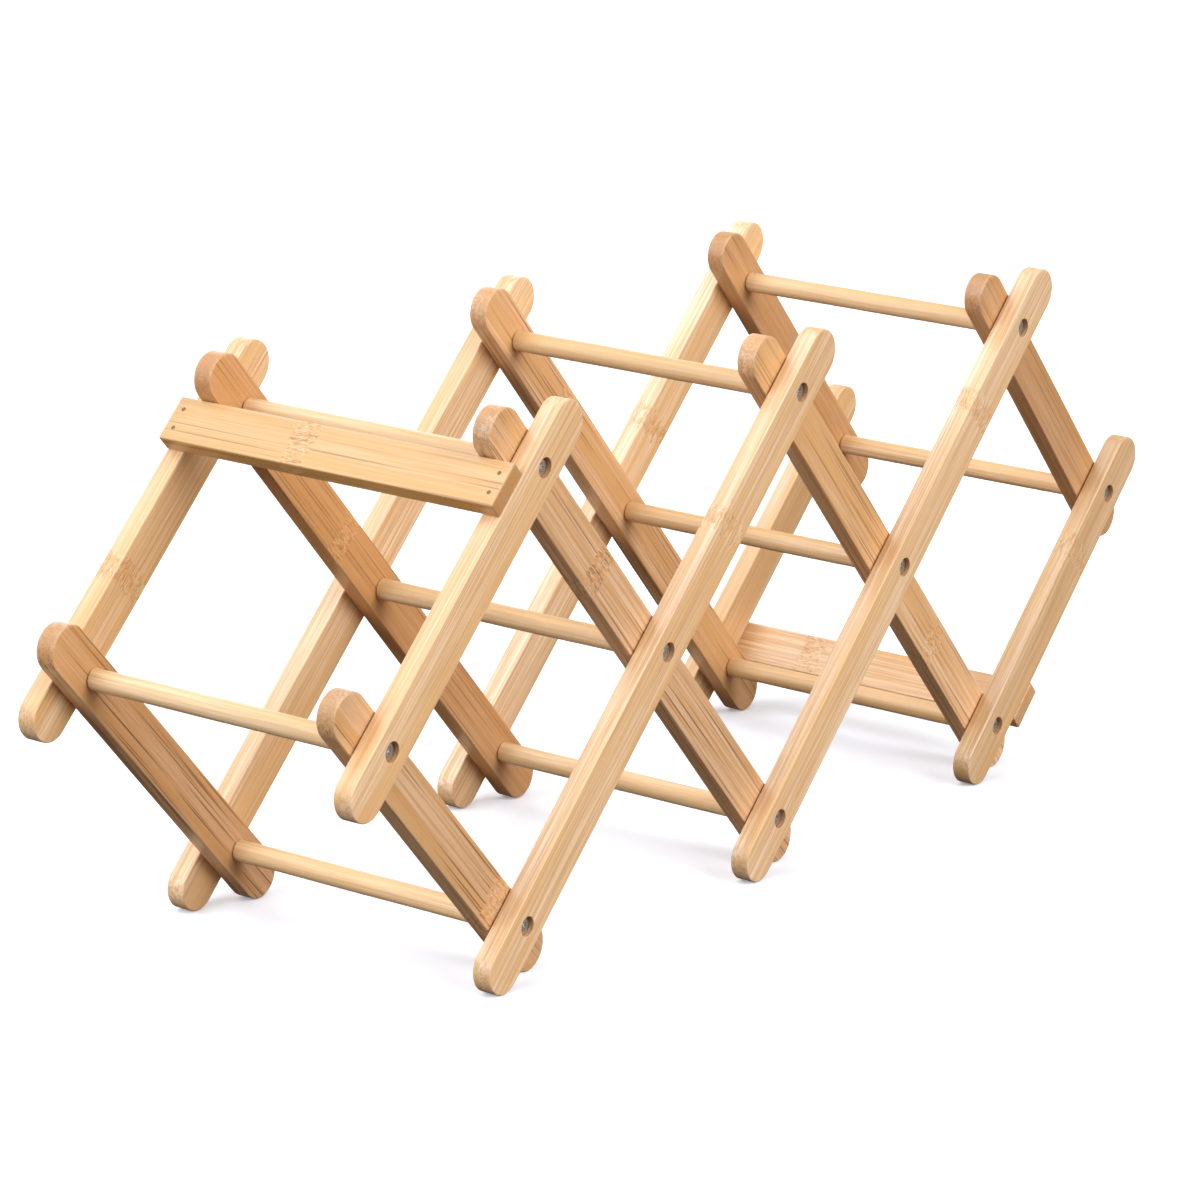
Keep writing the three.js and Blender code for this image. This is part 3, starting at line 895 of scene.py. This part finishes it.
def shank_sheet(angles):
    """Radius = core + (crest - core) * a sharp ridge that rises one pitch per turn, and falls
    to nothing at the tip. Below the head the shank is plain."""
    heights = np.concatenate([np.arange(-SCREW_LENGTH + 0.3, -5.0, 0.28), [-5.0, 0.0]])
    phase = (heights[:, None] / THREAD_PITCH + angles[None, :] / (2 * math.pi)) % 1.0
    ridge = np.clip(1 - 2.4 * np.abs(phase - 0.5), 0, 1)
    taper = ramp(heights, -SCREW_LENGTH, -SCREW_LENGTH + 4.0)[:, None]
    plain = ramp(heights, -6.5, -5.0)[:, None]
    ridge = np.maximum(ridge, plain)
    radius = taper * (CORE_RADIUS + (THREAD_RADIUS - CORE_RADIUS) * ridge)
    rim = HEAD_HEIGHT - HEAD_CROWN
    radius = np.concatenate([np.zeros((1, len(angles))), radius,
                             np.full((3, len(angles)), HEAD_RADIUS)])
    radius[-3] -= 0.2
    heights = np.concatenate([[-SCREW_LENGTH], heights, [0.0, 0.2, rim]])
    points = np.stack([radius * np.cos(angles), radius * np.sin(angles),
                       np.broadcast_to(heights[:, None], radius.shape)], -1).reshape(-1, 3)
    return points, sheet_faces(*radius.shape, True), np.zeros((len(points), 3))


on_rim = np.hypot(disc[0][:, 0], disc[0][:, 1]) > HEAD_RADIUS - 1e-6
rim_angles = np.sort(np.arctan2(disc[0][on_rim, 1], disc[0][on_rim, 0]))
screw_points, screw_faces, _ = weld([disc, shank_sheet(rim_angles)])
print("a screw has", len(screw_faces), "triangles")

# %% [markdown]
# Each screw sits on the floor of its counterbore, on the axis of its pivot. No two recesses end
# up at the same angle when a rack is screwed together, so each screw is turned by its own angle.

# %% Screws
SCREW_SEAT = 68.5

for screw in sorted(n for n in frame["nodes"] if "_screw_" in n):
    out = np.array([0.0, -1.0 if screw.startswith("front") else 1.0, 0.0])
    spin = rng.uniform(0, 2 * math.pi)
    sideways = np.array([math.cos(spin), 0.0, math.sin(spin)])
    place = pivot_place("_".join([screw.split("_")[1], screw.split("_")[3]])) + out * SCREW_SEAT
    piece = make_piece(f"{screw}_steel", screw_points, screw_faces, place,
                       [sideways, np.cross(out, sideways), out], zinc_steel, {})
    stand_in(piece, screw)
    print(piece.name, "turned by", round(math.degrees(spin)), "degrees")

# %% [markdown]
# ## The table
# The rack stands on a matt white table. A plane of any size would do, and a disc so wide that its
# rim is out of sight is the plainest. It glows very faintly, so it stays white under soft lamps,
# and it neither bounces light up nor shows in the gloss, so the undersides keep their warm shade.

# %% Table
TABLE_RADIUS = 14.0
TABLE_STEPS = 96
TABLE_DROP = 0.0002


def stage_object(name, points, faces, material):
    """A piece of the studio, in metres: seen by the camera, but not by bounced or mirrored
    light."""
    mesh = bpy.data.meshes.new(name)
    mesh.from_pydata(points.tolist(), [], faces)
    mesh.materials.append(material)
    made = bpy.data.objects.new(name, mesh)
    bpy.context.collection.objects.link(made)
    made.visible_diffuse = False
    made.visible_glossy = False
    return made


# Matt white lacquer on a table top: clean white with the faintest cloud in it, and no mirror.
table_white, tree = new_material("matt_white_table")
cloud = node(tree, "ShaderNodeTexNoise", {"Vector": node(
    tree, "ShaderNodeTexCoord").outputs["Object"], "Scale": 3.0, "Detail": 2.0}).outputs["Fac"]
tone = node(tree, "ShaderNodeMix", {0: cloud, 6: linear("#F6F7FA"), 7: linear("#F3F5F9")},
            data_type="RGBA").outputs[2]
shader = node(tree, "ShaderNodeBsdfPrincipled", {
    "Base Color": tone, "Roughness": 0.9, "Specular IOR Level": 0.1,
    "Emission Color": linear("#FFFFFF"), "Emission Strength": 0.20})
node(tree, "ShaderNodeOutputMaterial", {"Surface": shader.outputs[0]})

turn = circle(TABLE_STEPS)
rim = TABLE_RADIUS * np.stack([np.cos(turn), np.sin(turn), 0 * turn], -1)
table = stage_object("table", rim - [0, 0, TABLE_DROP], [list(range(TABLE_STEPS))], table_white)
print("table radius", TABLE_RADIUS)

# %% [markdown]
# ## The backdrop
# From a low angle the eye looks past the table's rim. A round wall of white paper closes the
# view there. It glows by itself and casts no shadow, so the lamps beyond it still reach the rack.

# %% Backdrop
WALL_HEIGHT = 14.0
WALL_RADIUS = TABLE_RADIUS - 0.01

# White backdrop paper: an even white with no shading of its own.
paper_white, tree = new_material("white_paper_backdrop")
paper = node(tree, "ShaderNodeEmission", {"Color": linear("#FFFFFF"), "Strength": 1.0})
node(tree, "ShaderNodeOutputMaterial", {"Surface": paper.outputs[0]})

wall_points, wall_faces, _ = turned_sheet([[WALL_RADIUS, 0.0], [WALL_RADIUS, WALL_HEIGHT]],
                                          circle(TABLE_STEPS))
backdrop = stage_object("backdrop", wall_points, wall_faces.tolist(), paper_white)
backdrop.visible_shadow = False
print("wall height", WALL_HEIGHT)

# %% [markdown]
# ## The light
# Four large soft lamps light the rack. The strongest is high in front, and lights the faces of
# the slats. One from the left, low and a little behind, makes the upper left edges brightest, a
# weak one overhead lifts the tops of the dowels, and a low one behind lights the far side. Lamps
# at a real distance of a metre or two would leave a grey gradient on so wide a table, so these
# are sun lamps, whose light is even everywhere, with discs so wide that the shadows are soft.

# %% Lamps
def distant_softbox(name, toward, spread, strength, colour):
    """A sun lamp whose disc is spread degrees wide, toward a direction, with its strength in
    units of pi: a white surface that faces a lamp of strength 1 is just white."""
    lamp = bpy.data.lights.new(name, "SUN")
    lamp.angle, lamp.energy, lamp.color = math.radians(spread), math.pi * strength, colour
    made = bpy.data.objects.new(name, lamp)
    made.rotation_euler = (-Vector(toward)).to_track_quat("-Z", "Y").to_euler()
    bpy.context.collection.objects.link(made)


distant_softbox("key_left", (-0.88, 0.20, 0.42), 45, 0.74, (0.94, 1.01, 1.14))
distant_softbox("overhead", (-0.26, 0.45, 0.85), 34, 0.26, (0.98, 1.01, 1.08))
distant_softbox("front_high", (0.10, -0.85, 0.50), 50, 0.95, (0.99, 1.01, 1.06))
distant_softbox("rear_low", (0.45, 0.88, 0.14), 60, 0.60, (1.0, 1.0, 1.0))

# %% [markdown]
# ## The room
# The room's own light fills the shadows. It is a third of full white above the horizon and
# fades almost to nothing below, where it also turns faintly rosy, as light that has passed
# through the rack's own wood does. The view is shown with no film curve, so white stays white.

# %% Room light
world = bpy.data.worlds.new("studio")
bpy.context.scene.world = world
world.use_nodes = True
tree = world.node_tree
tree.nodes.clear()
height = node(tree, "ShaderNodeSeparateXYZ", {"Vector": node(
    tree, "ShaderNodeTexCoord").outputs["Generated"]}).outputs["Z"]
glow = node(tree, "ShaderNodeMapRange", {
    "Value": height, "From Min": -0.7, "From Max": 0.15, "To Min": 0.03,
    "To Max": 0.34}).outputs["Result"]
rosy = node(tree, "ShaderNodeMapRange", {
    "Value": height, "From Min": 0.2, "From Max": -0.1}).outputs["Result"]
tint = node(tree, "ShaderNodeMix", {0: rosy, 6: linear("#FAFBFD"), 7: linear("#FFE4E4")},
            data_type="RGBA").outputs[2]
room = node(tree, "ShaderNodeBackground", {"Color": tint, "Strength": glow})
node(tree, "ShaderNodeOutputWorld", {"Surface": room.outputs[0]})
bpy.context.scene.view_settings.view_transform = "Standard"
print("the room's light comes from", world.name)
